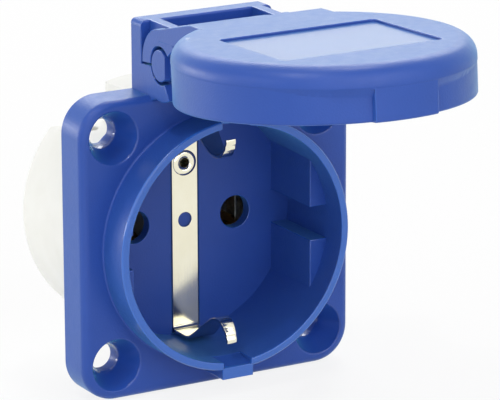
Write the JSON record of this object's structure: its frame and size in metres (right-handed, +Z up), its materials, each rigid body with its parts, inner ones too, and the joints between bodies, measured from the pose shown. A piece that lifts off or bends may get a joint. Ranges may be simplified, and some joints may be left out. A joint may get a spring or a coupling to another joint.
{
  "type": "panel socket outlet",
  "caption": "Square-flanged panel socket outlet with a round plug recess, sprung earth contacts, a hinged round lid and a drum-shaped rear body with screw terminals.",
  "frame": {"origin": "centre of the flange's back face, on the recess axis", "axes": "+X right seen from the front, +Y back into the panel, +Z up towards the hinge"},
  "size_m": [0.05, 0.0904, 0.0658],
  "materials": {
    "blue_moulding": "fine satin moulded",
    "white_moulding": "matt moulded",
    "seal": "matt",
    "plated": "nickel plated",
    "brass": "bright",
    "steel": "zinc plated"
  },
  "bodies": {
    "base": {"housing": "blue_moulding", "hinge_pin": "blue_moulding", "flange_seal": "seal", "carrier": "white_moulding", "contact_left": "brass", "contact_right": "brass", "contact_clip_left": "steel", "contact_clip_right": "steel", "clamp_left": "plated", "clamp_right": "plated", "clamp_screw_left": "plated", "clamp_screw_right": "plated", "earth_strip": "plated", "earth_rivet": "plated", "earth_link": "plated", "earth_clamp": "plated", "earth_screw": "plated", "fixing_screw_left": "steel", "fixing_screw_right": "steel"},
    "cover": {"lid": "blue_moulding", "lid_seal": "seal"}
  },
  "joints": [
    {"name": "lid_hinge", "type": "hinge", "parent": "base", "child": "cover", "pos_m": [0, -0.0096, 0.0306], "axis": [1, 0, 0], "range_deg": [0, 94.5]}
  ]
}
